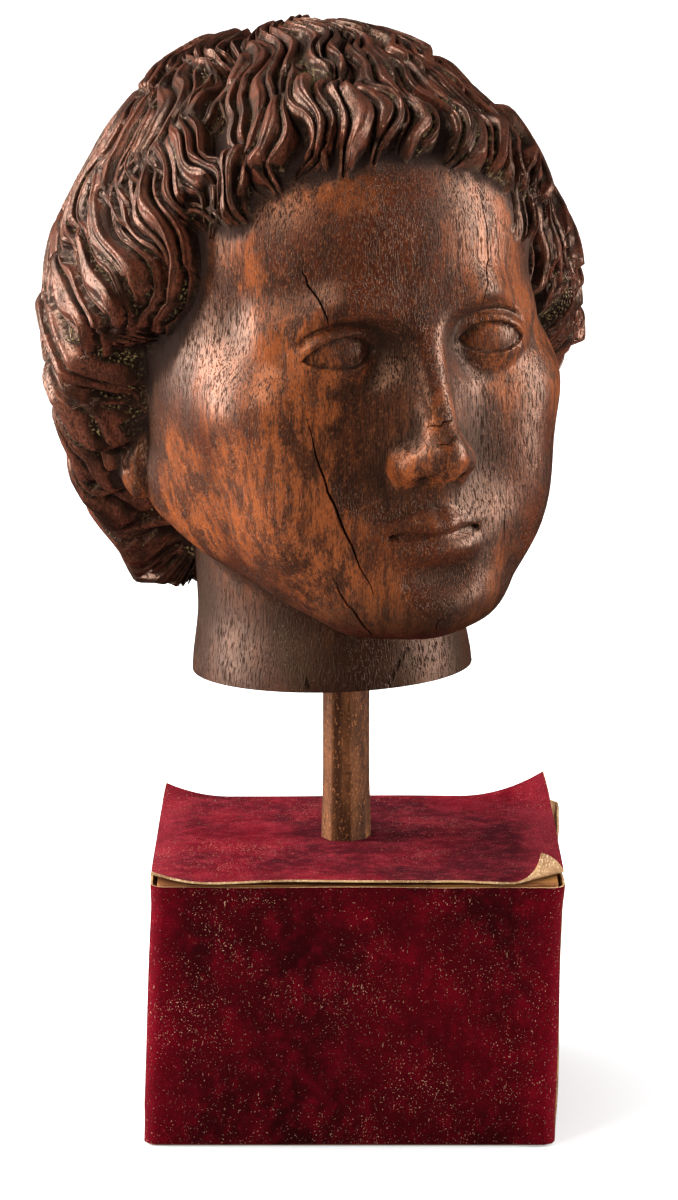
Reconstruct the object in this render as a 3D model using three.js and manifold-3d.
// A carved walnut head of a saint, a little under life size, with waved hair over the ears.
// It stands on a whittled rod above a wooden block, which is covered in crimson velvet:
// a band round the four sides and a square on top whose corners have curled up.
// Millimetres, +Z up, origin at the centre of the underside, the block's front towards -Y.
import * as THREE from "three";
import { mergeVertices } from "three/addons/utils/BufferGeometryUtils.js";
import { MeshoptSimplifier } from "three/addons/libs/meshopt_simplifier.module.js";
import Module from "manifold-3d";

const wasm = await Module();
wasm.setup();
await MeshoptSimplifier.ready;

// Driving sizes
const gap = 0.3;
const block = { width: 126.4, depth: 117.4, height: 85, lean: 3.2 };
const velvet = { thickness: 1.2, width: 131, depth: 121 };
const rod = { x: -0.6, y: 2, width: 14.4, flare: 0.9, intoBlock: 40, intoHead: 34 };
const neckCut = 143.5;
const sawTilt = (-2.2 * Math.PI) / 180;

// The head: its height from chin to crown, without the hair, drives the face
const headHeight = 178;
const eyeLine = 0;
const chinLine = -headHeight / 2 - 2;
const third = headHeight * 0.284;
const noseBase = chinLine + third;
const browLine = noseBase + third;
const mouthLine = noseBase - third / 3;
const faceWidth = headHeight * 0.7;
const eyeWidth = faceWidth / 5;
const neckBottom = -136;

const headPose = { x: -7.2, y: -4, z: 257, yaw: 24, roll: -3 };
const headTriangles = 7000;
const denseDetail = 90;
const rayCentre = [0, 6, 0];

const { abs, sin, cos, acos, atan2, sqrt, hypot, min, max, PI } = Math;
const degrees = PI / 180;
const clamp = (v, a, b) => min(b, max(a, v));
const mix = (a, b, t) => a + (b - a) * t;
const smooth = (a, b, v) => {
  const t = clamp((v - a) / (b - a), 0, 1);
  return t * t * (3 - 2 * t);
};
const scatter = (n) => {
  const s = sin(n * 12.9898 + 4.13) * 43758.5453;
  return s - Math.floor(s);
};

// Distance fields: rounded masses and how they are joined and cut
const join = (a, b, k) => {
  const h = max(k - abs(a - b), 0) / k;
  return min(a, b) - (h * h * k) / 4;
};
const carve = (a, b, k) => -join(-a, b, k);
const mass = (x, y, z, [cx, cy, cz], [rx, ry, rz]) => {
  const px = (x - cx) / rx;
  const py = (y - cy) / ry;
  const pz = (z - cz) / rz;
  const k0 = hypot(px, py, pz);
  const k1 = hypot(px / rx, py / ry, pz / rz);
  return k1 < 1e-9 ? -min(rx, ry, rz) : (k0 * (k0 - 1)) / k1;
};
const bar = (x, y, z, [ax, ay, az], [bx, by, bz], ra, rb) => {
  const [dx, dy, dz] = [bx - ax, by - ay, bz - az];
  const t = clamp(((x - ax) * dx + (y - ay) * dy + (z - az) * dz) / (dx * dx + dy * dy + dz * dz), 0, 1);
  return hypot(x - ax - t * dx, y - ay - t * dy, z - az - t * dz) - mix(ra, rb, t);
};

// The skull, forehead, cheeks and jaw
function skull(ax, y, z) {
  let d = mass(ax, y, z, [0, 5, 17], [61, 76, 71]);
  d = join(d, mass(ax, y, z, [0, -29, 32], [54, 46, 46]), 14);
  d = join(d, mass(ax, y, z, [0, -24, -28], [52, 50, 58]), 22);
  d = join(d, bar(ax, y, z, [48, 6, -48], [19, -57, chinLine + 14], 12, 13), 16);
  d = join(d, mass(ax, y, z, [37, -46, noseBase + 22], [19, 19, 16]), 18);
  d = join(d, mass(ax, y, z, [31, -50, noseBase - 8], [19, 18, 24]), 18);
  return join(d, mass(ax, y, z, [0, -67, chinLine + 11], [19, 13, 12]), 12);
}

// The neck, a little deeper than wide, flaring to the saw cut
function neck(ax, y, z) {
  const flare = 3 * smooth(-90, -115, z);
  const halfWidth = 42 + flare;
  const halfDepth = 45 + flare;
  const middle = 8;
  const reach = hypot(ax / halfWidth, (y - middle) / halfDepth);
  const side = (reach - 1) * halfWidth;
  return max(side, z + 40, neckBottom - z);
}

// Brows and sockets, with a blank eyeball between two lids under a soft crease
function eyes(d, ax, y, z) {
  const centre = eyeWidth;
  d = join(d, bar(ax, y, z, [0, -69, browLine - 5], [20, -66.5, browLine + 1], 5.5, 5), 13);
  d = join(d, bar(ax, y, z, [20, -66.5, browLine + 1], [39, -54, browLine - 3], 5, 4.5), 13);
  d = carve(d, mass(ax, y, z, [centre - 1, -84, eyeLine], [16.5, 19, 11]), 8);
  const ball = [centre, -58.2, eyeLine - 0.5];
  const upper = eyeWidth * 0.24;
  const lower = eyeWidth * 0.16;
  const half = eyeWidth * 0.52;
  const arc = (rise) => (half * half + rise * rise) / (2 * rise);
  const u = ax - centre;
  const v = z - eyeLine + 0.5 + u * 0.05;
  const above = hypot(u, v - upper + arc(upper)) - arc(upper);
  const opening = max(above, hypot(u, v + lower - arc(lower)) - arc(lower));
  const lids = carve(mass(ax, y, z, ball, [15.6, 15, 13.4]), opening, 0.8);
  d = join(d, lids, 3.5);
  const crease = v > 0 ? 1.1 * Math.exp(-(((above - 3.6) / 1.1) ** 2)) * smooth(-16, -9, -abs(u)) : 0;
  return join(d + crease, mass(ax, y, z, ball, [14.4, 13.2, 12]), 0.6);
}

// A straight nose on the middle line
function nose(d, ax, y, z) {
  const tip = noseBase + 9;
  d = join(d, mass(ax, y, z, [0, -68, noseBase + 16], [13, 13, 24]), 9);
  let n = bar(ax, y, z, [0, -71.5, eyeLine + 7], [0, -85, tip + 3], 5.6, 5.8);
  n = join(n, mass(ax, y, z, [0, -86.4, tip - 1.6], [6.4, 6.8, 6]), 8);
  n = join(n, mass(ax, y, z, [8.8, -77.6, noseBase + 5.4], [4.6, 7.8, 5.4]), 6);
  n = join(n, bar(ax, y, z, [0, -88, noseBase + 3.6], [0, -77, noseBase + 1], 2.6, 3), 2);
  d = join(d, n, 3.4);
  return carve(d, mass(ax, y, z, [5.6, -83.6, noseBase - 0.2], [2.9, 4.4, 3.2]), 1.4);
}

// Closed, level lips over a shallow chin crease
function mouth(d, ax, y, z) {
  const corner = eyeWidth * 0.9;
  d = join(d, mass(ax, y, z, [0, -60, mouthLine - 1], [28, 18, 19]), 12);
  let lips = bar(ax, y, z, [3, -76.9, mouthLine + 3.2], [corner - 2, -68, mouthLine + 0.8], 4.6, 2);
  lips = join(lips, mass(ax, y, z, [0, -76.6, mouthLine + 1.8], [6, 4.4, 3.2]), 4);
  d = join(d, lips, 2.2);
  let under = mass(ax, y, z, [0, -73.8, mouthLine - 4.8], [15, 8.2, 5.4]);
  const side = bar(ax, y, z, [8, -74, mouthLine - 3.6], [corner - 2, -67.6, mouthLine - 1], 3.4, 1.6);
  under = join(under, side, 4);
  d = join(d, under, 2.4);
  const line = [[0, -82.2, mouthLine - 0.4], [9, -79.2, mouthLine + 0.4], [corner - 1, -70, mouthLine - 0.3]];
  d = carve(d, bar(ax, y, z, line[0], line[1], 1.1, 1.1), 1.2);
  d = carve(d, bar(ax, y, z, line[1], line[2], 1.1, 0.6), 1.2);
  d = carve(d, bar(ax, y, z, [0, -82.6, noseBase - 2], [0, -84, mouthLine + 8], 2.2, 2.6), 2.6);
  return carve(d, mass(ax, y, z, [0, -83.4, mouthLine - 14], [12, 6, 4]), 6);
}

// An ear whose lobe shows below the hair
function ears(d, ax, y, z) {
  const shell = mass(ax, y, z, [61.5, 11, noseBase + 14], [6, 12, 22]);
  const whole = join(shell, mass(ax, y, z, [61.5, 6, noseBase - 2], [5, 5.6, 9]), 5);
  const shaped = carve(whole, mass(ax, y, z, [69, 4, noseBase + 8], [5, 3.6, 4]), 2.5);
  return join(d, shaped, 2.4);
}

// Head without hair, in the head's own frame: origin between the eyes' line and the ears, face towards -Y
function bareHead(x, y, z) {
  const ax = abs(x);
  let d = join(skull(ax, y, z), neck(ax, y, z), 6);
  if (y > -25) return ears(d, ax, y, z);
  d = eyes(d, ax, y, z);
  d = nose(d, ax, y, z);
  return mouth(d, ax, y, z);
}

// The mass of hair under the locks: full at the sides, tucked in at the nape
function hairMass(x, y, z) {
  const ax = abs(x);
  let d = mass(ax, y, z, [0, 6, 6], [75, 82, 84]);
  d = join(d, mass(ax, y, z, [53, 11, -7], [25.5, 47, 53]), 14);
  return join(d, mass(ax, y, z, [0, 39, -47], [60, 42, 51]), 18);
}

// Where the hair begins: heights and how far forward it reaches there, seen from the side.
// It comes further forward over the left temple.
const hairline = [
  [-100, 10],
  [-36, 8],
  [-18, 2],
  [-4, -13],
  [8, -31],
  [22, -40],
  [36, -43],
  [46, -53],
  [57, -67],
  [66, -74],
  [90, -95],
];
function hairReach(x, z) {
  let k = 1;
  while (k < hairline.length - 1 && z > hairline[k][0]) k++;
  const [[z0, y0], [z1, y1]] = [hairline[k - 1], hairline[k]];
  const left = 20 * smooth(20, 45, x) * smooth(-46, -30, z) * (1 - smooth(30, 56, z));
  return mix(y0, y1, clamp((z - z0) / (z1 - z0), 0, 1)) - left;
}

// How far, in mm, a place lies inside the hair: negative on the face and on the neck
function insideHair(x, y, z) {
  const low = max(-36 - 3 * max(y - 14, 0), -101);
  return min(y - hairReach(x, z), (z - low) * 0.8);
}

// Directions seen from the crown, a little behind the top of the head
const crownTilt = 27 * degrees;
const crown = [0, sin(crownTilt), cos(crownTilt)];
const ahead = [0, -cos(crownTilt), sin(crownTilt)];
const crownRadius = 88;
function fromCrown([dx, dy, dz]) {
  const theta = acos(clamp(dy * crown[1] + dz * crown[2], -1, 1));
  return [theta, atan2(dx, dy * ahead[1] + dz * ahead[2])];
}
function toDirection(theta, phi) {
  const [s, c] = [sin(theta), cos(theta)];
  return [s * sin(phi), c * crown[1] + s * cos(phi) * ahead[1], c * crown[2] + s * cos(phi) * ahead[2]];
}
function hairEdge(phi) {
  const step = 1.5 * degrees;
  let theta = 40 * degrees;
  for (; theta < 150 * degrees; theta += step) {
    const direction = toDirection(theta, phi);
    const r = surfaceRadius(hairMass, direction, 130);
    const [x, y, z] = direction.map((v, i) => rayCentre[i] + v * r);
    if (insideHair(x, y, z) < 0 || z < -97) break;
  }
  return theta;
}

// Locks of hair, combed from the crown down to the hairline and laid in three tiers. A tier gives
// the share of the way from crown to hairline its locks cover. A region lies between two bearings
// from the front, in degrees, and gives the locks' spacing, S wave, bow and tip curl in mm.
const tiers = [
  { start: 0.03, end: 0.52, raise: 2, overlap: 1.1 },
  { start: 0.2, end: 0.78, raise: 1, overlap: 1.15 },
  { start: 0.42, end: 1, raise: 0, overlap: 1.25 },
];
const regions = [
  { from: -36, to: 32, spacing: 13, wave: 2.6, bow: 0, curl: 2, lift: 4.5, over: 0 },
  { from: 32, to: 66, spacing: 17, wave: 4.6, bow: 5, curl: -4, lift: 5, over: 0 },
  { from: -70, to: -39, spacing: 18, wave: 5.5, bow: -9, curl: 4, lift: 5, over: 0 },
  { from: 66, to: 122, spacing: 20, wave: 6.5, bow: 0, curl: -5, lift: 6, over: 0 },
  { from: -126, to: -70, spacing: 20, wave: 6.5, bow: 0, curl: 5, lift: 6, over: 0 },
  { from: 122, to: 234, spacing: 19, wave: 5.4, bow: 0, curl: 3, lift: 6, over: 1 },
];
const waveLength = 54;
const swirl = 38 * degrees;
const whorl = 20 * degrees;
function makeLocks() {
  const made = [];
  tiers.forEach((tier, level) => {
    regions.forEach((region, side) => {
      const width = (region.to - region.from) * degrees;
      const reach = crownRadius * sin(mix(tier.start, tier.end, 0.62) * 85 * degrees);
      const count = Math.round((width * reach) / region.spacing);
      for (let i = 0; i < count; i++) {
        const chance = (n) => scatter(level * 71 + side * 37 + i * 3.7 + n);
        const phi = region.from * degrees + (width * (i + (level % 2 ? 0.25 : 0.75))) / count;
        const edge = hairEdge(phi);
        const last = tier.end === 1;
        made.push({
          phi,
          start: edge * (tier.start + 0.1 * (chance(0) - 0.5) * tier.end),
          end: edge * (tier.end + (last ? 0 : 0.16 * (chance(1) - 0.5))) +
            (last ? (region.over + 4 * (chance(2) - 0.5)) * degrees : 0),
          wave: region.wave,
          own: 1.6 * (chance(3) - 0.5) * region.wave * 0.4,
          bow: region.bow,
          curl: region.curl * (0.6 + 0.8 * chance(4)),
          drift: 0.12 * sin(2.3 * phi) + 0.16 * chance(5),
          width: ((width * crownRadius) / count) * tier.overlap * (0.9 + 0.25 * chance(6)),
          lift: region.lift * (0.8 + 0.4 * chance(7)),
          raise: tier.raise,
        });
      }
    });
  });
  return made;
}
const locks = makeLocks();

// How high the locks stand at one direction above the mass of hair
function lockHeight(theta, around) {
  const phi = around - swirl * Math.exp(-theta / whorl);
  const round = crownRadius * sin(theta);
  const spread = min(1, sin(theta) / 0.75);
  let height = 0;
  for (const lock of locks) {
    const t = (theta - lock.start) / (lock.end - lock.start);
    if (t < 0 || t > 1) continue;
    const turn = 2 * PI * ((crownRadius * theta) / waveLength + lock.drift);
    const waved = (lock.wave * sin(turn) + lock.own * cos(1.7 * turn)) * smooth(0.1, 0.7, theta);
    const bent = lock.bow * sin(PI * t) + lock.curl * max(0, (t - 0.7) / 0.3) ** 2;
    let off = phi - lock.phi - (waved + bent) / round;
    off -= 2 * PI * Math.round(off / (2 * PI));
    const slope = (lock.wave * cos(turn) * 2 * PI) / waveLength;
    const across = (off * round) / sqrt(1 + slope * slope);
    const point = t > 0.6 ? mix(1, 0.16, ((t - 0.6) / 0.4) ** 1.6) : 1;
    const s = across / (0.5 * lock.width * spread * smooth(-0.3, 0.2, t) * point);
    if (abs(s) >= 1) continue;
    const tip = sqrt(max(0, 1 - (max(t - 0.86, 0) / 0.14) ** 2));
    const grow = mix(0.1, 1, smooth(-0.05, 0.35, t)) * tip;
    height = max(height, (lock.lift * (1 - s * s) ** 0.6 + lock.raise) * grow);
  }
  return height;
}

// The locks that frame the face, each led through places on the hair from root to tip. Those at the
// temple and over the ear lie on the head's right, and are repeated on its left a little further forward.
const templeLocks = [
  { width: 15, path: [[-51, 0, 76], [-59, -16, 65], [-62, -31, 53], [-62, -38, 45], [-58, -43, 39]] },
  { width: 17, path: [[-46, 3, 80], [-53, -19, 69], [-56, -34, 59], [-53, -46, 50], [-55, -45, 37]] },
  { width: 14, path: [[-59, 2, 69], [-65, -22, 52], [-65, -35, 37], [-61, -37, 25], [-63, -24, 6]] },
  { width: 16, path: [[-63, 11, 65], [-73, -2, 48], [-76, -15, 35], [-71, -29, 22], [-74, -14, 2]] },
  { width: 14, path: [[-69, 17, 55], [-78, 2, 38], [-80, -9, 26], [-76, -22, 13], [-77, -11, 1]] },
  { width: 15, path: [[-75, 25, 39], [-79, 18, 27], [-82, 4, 17], [-80, -10, 7], [-78, -4, -4]] },
];
const earLocks = [
  { width: 16, path: [[-78, 40, 25], [-79, 34, 12], [-83, 14, 2], [-75, 2, -12], [-68, 0, -23]] },
  { width: 16, path: [[-78, 45, 4], [-82, 26, -8], [-77, 13, -21], [-70, 10, -31], [-66, 8, -37]] },
  { width: 17, path: [[-80, 42, -8], [-84, 26, -20], [-80, 20, -33], [-72, 20, -43], [-64, 20, -51]] },
  { width: 16, path: [[-72, 46, -28], [-77, 33, -40], [-72, 27, -53], [-61, 26, -62], [-52, 24, -68]] },
  { width: 15, path: [[-64, 52, -44], [-68, 40, -56], [-62, 34, -68], [-54, 32, -76], [-46, 30, -82]] },
];
const frontLocks = [
  { width: 13, path: [[-41, -39, 70], [-45, -44, 62], [-50, -49, 53], [-49, -52, 46], [-46, -58, 41]] },
  { width: 16, path: [[-32, -30, 80], [-31, -42, 74], [-38, -50, 65], [-44, -54, 56], [-40, -61, 49]] },
  { width: 13, path: [[-14, -28, 86], [-21, -41, 81], [-24, -54, 73], [-26, -61, 66], [-33, -62, 57]] },
  { width: 12, path: [[-6, -36, 86], [-12, -50, 78], [-14, -59, 72], [-17, -66, 64], [-21, -68, 57]] },
  { width: 12, path: [[3, -39, 84], [-4, -53, 78], [-4, -61, 71], [-6, -67, 65], [-10, -69, 57]] },
  { width: 13, path: [[13, -41, 82], [6, -57, 74], [6, -66, 67], [3, -70, 62], [1, -71, 56]] },
  { width: 14, path: [[25, -46, 75], [22, -58, 68], [23, -64, 61], [19, -68, 56], [12, -70, 54]] },
  { width: 15, path: [[40, -40, 70], [36, -54, 64], [34, -62, 56], [30, -66, 50], [23, -69, 48]] },
];
function leadLocks() {
  const sideLocks = [...templeLocks, ...earLocks];
  const forward = (y, z) => 15 * smooth(40, -10, y) * smooth(-60, -20, z);
  const mirrored = sideLocks.map(({ width, path }, i) => ({
    width: width * 1.05,
    path: path.map(([x, y, z]) => [-x, y - forward(y, z), z + 2 * sin(2.4 * i)]),
  }));
  return [...sideLocks, ...frontLocks, ...mirrored].map(({ width, path }, i) => {
    const places = path.map(([x, y, z]) => {
      return new THREE.Vector3(x - rayCentre[0], y - rayCentre[1], z - rayCentre[2]).setLength(crownRadius);
    });
    const line = new THREE.CatmullRomCurve3(places).getPoints((path.length - 1) * 5);
    const middle = line[Math.round(line.length / 2)];
    const reach = max(...line.map((p) => p.distanceTo(middle))) + width;
    const lift = 7 + 1.6 * (scatter(i) - 0.5);
    return { line, middle, reach, width, lift, raise: 2 + 1.5 * scatter(i + 50) };
  });
}
const ledLocks = leadLocks();
function ledHeight(direction) {
  const place = new THREE.Vector3(...direction).multiplyScalar(crownRadius);
  let height = 0;
  for (const { line, middle, reach, width, lift, raise } of ledLocks) {
    if (place.distanceTo(middle) > reach) continue;
    let nearest = Infinity;
    let t = 0;
    for (let k = 1; k < line.length; k++) {
      const [a, b] = [line[k - 1], line[k]];
      const [dx, dy, dz] = [b.x - a.x, b.y - a.y, b.z - a.z];
      const [px, py, pz] = [place.x - a.x, place.y - a.y, place.z - a.z];
      const h = clamp((px * dx + py * dy + pz * dz) / (dx * dx + dy * dy + dz * dz), 0, 1);
      const away = hypot(px - h * dx, py - h * dy, pz - h * dz);
      if (away < nearest) [nearest, t] = [away, (k - 1 + h) / (line.length - 1)];
    }
    const breadth = mix(0.35, 1, smooth(0, 0.3, t)) * (1 - 0.62 * smooth(0.6, 1.05, t));
    const s = nearest / (0.5 * width * breadth);
    if (s >= 1) continue;
    const grow = smooth(-0.04, 0.36, t) * mix(1, 0.62, smooth(0.7, 1, t));
    height = max(height, (lift * (1 - s * s) ** 0.55 + raise) * grow);
  }
  return height;
}

// The deep parting on the head's right, from the top down towards the hairline
function parting(theta, around) {
  const line = (-37 + 4 * sin(5 * theta)) * degrees;
  const off = (around - swirl * Math.exp(-theta / whorl) - line) * crownRadius * sin(theta);
  return 4 * Math.exp(-((off / 2.6) ** 2)) * smooth(0.4, 0.6, theta) * (1 - smooth(0.75, 0.95, theta));
}

// Where a ray from inside the head leaves a form
function surfaceRadius(form, [dx, dy, dz], far) {
  let r = far;
  for (let i = 0; i < 60; i++) {
    const d = form(rayCentre[0] + r * dx, rayCentre[1] + r * dy, rayCentre[2] + r * dz);
    if (abs(d) < 0.01) break;
    r -= clamp(d * 0.8, -2, 12);
    if (r < 5) break;
  }
  return r;
}

function headRadius(direction) {
  const bare = surfaceRadius(bareHead, direction, 150);
  const full = surfaceRadius(hairMass, direction, 130);
  const r = max(bare, full);
  const [x, y, z] = direction.map((v, i) => rayCentre[i] + v * r);
  const inside = insideHair(x, y, z);
  if (inside < -14) return bare;
  const [theta, phi] = fromCrown(direction);
  const thick = max(full, bare + 1) - 1;
  const cover = mix(bare - 2, thick, smooth(-1, 16, inside));
  const under = mix(bare - 1, thick, smooth(-6, 16, inside));
  const rise = max(lockHeight(theta, phi), ledHeight(direction) * smooth(-12, -3, inside));
  return max(bare, max(cover, rise > 0 ? under + rise : 0) - parting(theta, phi));
}

// A closed geometry with shared corners becomes a solid, and a solid a geometry again
function toSolid(geometry) {
  const bare = geometry.index ? geometry.toNonIndexed() : geometry.clone();
  bare.deleteAttribute("normal");
  bare.deleteAttribute("uv");
  const merged = mergeVertices(bare, 1e-4);
  return new wasm.Manifold(
    new wasm.Mesh({
      numProp: 3,
      vertProperties: merged.attributes.position.array,
      triVerts: new Uint32Array(merged.index.array),
    }),
  );
}
function toGeometry(solid) {
  const { vertProperties, triVerts, numProp, numVert } = solid.getMesh();
  const position = new Float32Array(numVert * 3);
  for (let i = 0; i < numVert; i++) {
    position.set(vertProperties.subarray(i * numProp, i * numProp + 3), i * 3);
  }
  const geometry = new THREE.BufferGeometry();
  geometry.setAttribute("position", new THREE.BufferAttribute(position, 3));
  geometry.setIndex(new THREE.BufferAttribute(triVerts, 1));
  geometry.computeVertexNormals();
  return geometry;
}
function boxFrom(low, high) {
  const size = high.map((v, i) => v - low[i]);
  const geometry = new THREE.BoxGeometry(...size);
  return geometry.translate(...low.map((v, i) => v + size[i] / 2));
}

function headGeometry() {
  const sphere = new THREE.IcosahedronGeometry(1, denseDetail);
  sphere.deleteAttribute("normal");
  sphere.deleteAttribute("uv");
  const dense = mergeVertices(sphere, 1e-5);
  const position = dense.attributes.position;
  for (let i = 0; i < position.count; i++) {
    const p = new THREE.Vector3().fromBufferAttribute(position, i).normalize();
    const r = headRadius([p.x, p.y, p.z]);
    position.setXYZ(i, rayCentre[0] + r * p.x, rayCentre[1] + r * p.y, rayCentre[2] + r * p.z);
  }
  const [kept] = MeshoptSimplifier.simplify(
    new Uint32Array(dense.index.array),
    position.array,
    3,
    headTriangles * 3,
    1,
  );
  dense.setIndex(new THREE.BufferAttribute(kept, 1));
  dense.rotateY(headPose.roll * degrees);
  dense.rotateZ(headPose.yaw * degrees);
  return dense.translate(headPose.x, headPose.y, headPose.z);
}

function head() {
  const form = toSolid(headGeometry());
  const below = toSolid(boxFrom([-150, -150, -80], [150, 150, 0]).rotateY(sawTilt).translate(0, 0, neckCut));
  const hole = toSolid(rodGeometry(gap, rod.intoHead + gap));
  return toGeometry(form.subtract(below).subtract(hole));
}

// The whittled rod: eight uneven flats, a little wider at the foot
const rodSides = 8;
function rodGeometry(clear, intoHead) {
  const foot = block.height - rod.intoBlock - clear;
  const top = neckCut + intoHead;
  const corner = rod.width / 2 / cos(PI / rodSides);
  const geometry = new THREE.CylinderGeometry(corner + clear, corner + clear, top - foot, rodSides, 6);
  geometry.rotateX(PI / 2).rotateZ(11 * degrees);
  geometry.translate(rod.x, rod.y, (top + foot) / 2);
  const position = geometry.attributes.position;
  for (let i = 0; i < position.count; i++) {
    const [x, y, z] = [position.getX(i) - rod.x, position.getY(i) - rod.y, position.getZ(i)];
    const angle = atan2(y, x);
    const uneven = 1 + 0.035 * sin(3 * angle + 1) + 0.02 * sin(2 * angle);
    const wide = 1 + (rod.flare / rod.width) * (1 - smooth(block.height, block.height + 25, z));
    position.setX(i, rod.x + x * uneven * wide);
    position.setY(i, rod.y + y * uneven * wide);
  }
  return geometry;
}

// The block in plan: rounded upright edges, eight places along each side. Each place has the way out.
const edgeRound = 2.3;
function plan() {
  const [halfX, halfY] = [block.width / 2 - edgeRound, block.depth / 2 - edgeRound];
  const corners = [[1, -1, -90], [1, 1, 0], [-1, 1, 90], [-1, -1, 180]];
  const places = [];
  corners.forEach(([sx, sy, from], c) => {
    for (const turn of [0, 30, 60, 90]) {
      const angle = (from + turn) * degrees;
      places.push({ x: sx * halfX, y: sy * halfY, nx: cos(angle), ny: sin(angle) });
    }
    const [nextX, nextY] = corners[(c + 1) % 4];
    const last = places[places.length - 1];
    for (let k = 1; k < 7; k++) {
      places.push({ ...last, x: mix(sx, nextX, k / 7) * halfX, y: mix(sy, nextY, k / 7) * halfY });
    }
  });
  return places;
}

// The block leans a little to its left, as its front shows
function blockGeometry() {
  const outline = plan().map(({ x, y, nx, ny }) => new THREE.Vector2(x + edgeRound * nx, y + edgeRound * ny));
  const face = new THREE.Shape(outline);
  const core = new THREE.ExtrudeGeometry(face, { depth: block.height, bevelEnabled: false });
  const lean = new THREE.Matrix4().makeShear(0, 0, 0, 0, block.lean / block.height, 0);
  core.applyMatrix4(lean);
  return toGeometry(toSolid(core).subtract(toSolid(rodGeometry(gap, 0))));
}

// A thin cloth laid out on a grid of columns and rows. at(i, j) gives its lower or inner face,
// then its upper or outer one. A closed cloth runs round on itself along the columns.
function clothGeometry(columns, rows, closed, at) {
  const stride = rows + 1;
  const points = [];
  const faces = [];
  const lines = closed ? columns : columns + 1;
  for (let i = 0; i < lines; i++) for (let j = 0; j <= rows; j++) points.push(...at(i, j).flat());
  const low = (i, j) => 2 * ((i % lines) * stride + j);
  const high = (i, j) => low(i, j) + 1;
  const quad = (a, b, c, d) => faces.push(a, b, c, a, c, d);
  for (let i = 0; i < columns; i++) {
    for (let j = 0; j < rows; j++) {
      quad(high(i, j), high(i + 1, j), high(i + 1, j + 1), high(i, j + 1));
      quad(low(i, j), low(i, j + 1), low(i + 1, j + 1), low(i + 1, j));
    }
    quad(low(i, 0), low(i + 1, 0), high(i + 1, 0), high(i, 0));
    quad(high(i, rows), high(i + 1, rows), low(i + 1, rows), low(i, rows));
  }
  if (!closed) {
    for (let j = 0; j < rows; j++) {
      quad(low(0, j + 1), low(0, j), high(0, j), high(0, j + 1));
      quad(low(columns, j), low(columns, j + 1), high(columns, j + 1), high(columns, j));
    }
  }
  const geometry = new THREE.BufferGeometry();
  geometry.setAttribute("position", new THREE.Float32BufferAttribute(points, 3));
  geometry.setIndex(faces);
  return geometry;
}

// The band round the sides, standing off the wood at the back right corner
const bandFoot = 0.8;
const bandTop = block.height - gap;
const bandLevels = [0, 0.12, 0.4, 0.72, 1];
function standOff(x, y, level) {
  const corner = smooth(-30, block.depth / 2, y) * smooth(20, block.width / 2, x) * smooth(0.3, 1, level);
  const slack = 0.35 * (1 + sin(0.11 * x + 5 * level) * sin(0.09 * y + 2));
  return slack + 2.6 * corner;
}
function bandGeometry() {
  const places = plan();
  return clothGeometry(places.length, bandLevels.length - 1, true, (i, j) => {
    const { x, y, nx, ny } = places[i];
    const level = bandLevels[j];
    const z = mix(bandFoot, bandTop, level);
    const reach = edgeRound + gap + standOff(x, y, level);
    const shift = (block.lean * z) / block.height;
    return [reach, reach + velvet.thickness].map((r) => [x + shift + nx * r, y + ny * r, z]);
  });
}

// The square on top: it lies on the wood and each corner rolls up along a slanting line.
// rolls: the corner's side in x and y, its rolled length along the diagonal and the roll's radius
const rolls = [
  { sx: 1, sy: -1, length: 13, radius: 4.4 },
  { sx: -1, sy: -1, length: 14, radius: 26 },
  { sx: 1, sy: 1, length: 22, radius: 24 },
  { sx: -1, sy: 1, length: 16, radius: 24 },
];
function topPoint(u, v, thick) {
  const lift = 0.25 * (1 + sin(0.07 * u + 1) * sin(0.08 * v));
  const point = [u + block.lean, v, block.height + gap + lift];
  for (const { sx, sy, length, radius } of rolls) {
    const along = (u * sx + v * sy) * Math.SQRT1_2;
    const start = ((velvet.width + velvet.depth) / 2) * Math.SQRT1_2 - length;
    if (along <= start) continue;
    const angle = (along - start) / radius;
    const out = (radius - thick) * sin(angle) - (along - start);
    const up = radius - (radius - thick) * cos(angle);
    return [point[0] + sx * out * Math.SQRT1_2, point[1] + sy * out * Math.SQRT1_2, point[2] + up];
  }
  return [point[0], point[1], point[2] + thick];
}
function topGeometry() {
  const shares = [0, 0.03, 0.07, 0.11, 0.16, 0.26, 0.4, 0.5, 0.6, 0.74, 0.84, 0.89, 0.93, 0.97, 1];
  const last = shares.length - 1;
  const sheet = clothGeometry(last, last, false, (i, j) => {
    const u = (shares[i] - 0.5) * velvet.width;
    const v = (shares[j] - 0.5) * velvet.depth;
    return [topPoint(u, v, 0), topPoint(u, v, velvet.thickness)];
  });
  return toGeometry(toSolid(sheet).subtract(toSolid(rodGeometry(gap, 0))));
}

const wood = new THREE.MeshStandardMaterial({ color: 0x5a2c16, roughness: 0.45, metalness: 0 });
const rodWood = new THREE.MeshStandardMaterial({ color: 0x5c412b, roughness: 0.7, metalness: 0 });
const blockWood = new THREE.MeshStandardMaterial({ color: 0x8a5f32, roughness: 0.8, metalness: 0 });
const sideVelvet = new THREE.MeshStandardMaterial({ color: 0x6d0f1f, roughness: 0.95, metalness: 0 });
const topVelvet = new THREE.MeshStandardMaterial({ color: 0x8c2a3c, roughness: 0.95, metalness: 0 });

const saintHead = new THREE.Group();
function add(name, geometry, material) {
  const mesh = new THREE.Mesh(geometry, material);
  mesh.name = name;
  saintHead.add(mesh);
}
add("head", head(), wood);
add("rod", rodGeometry(0, rod.intoHead), rodWood);
add("block", blockGeometry(), blockWood);
add("velvet_sides", bandGeometry(), sideVelvet);
add("velvet_top", topGeometry(), topVelvet);

export default saintHead;
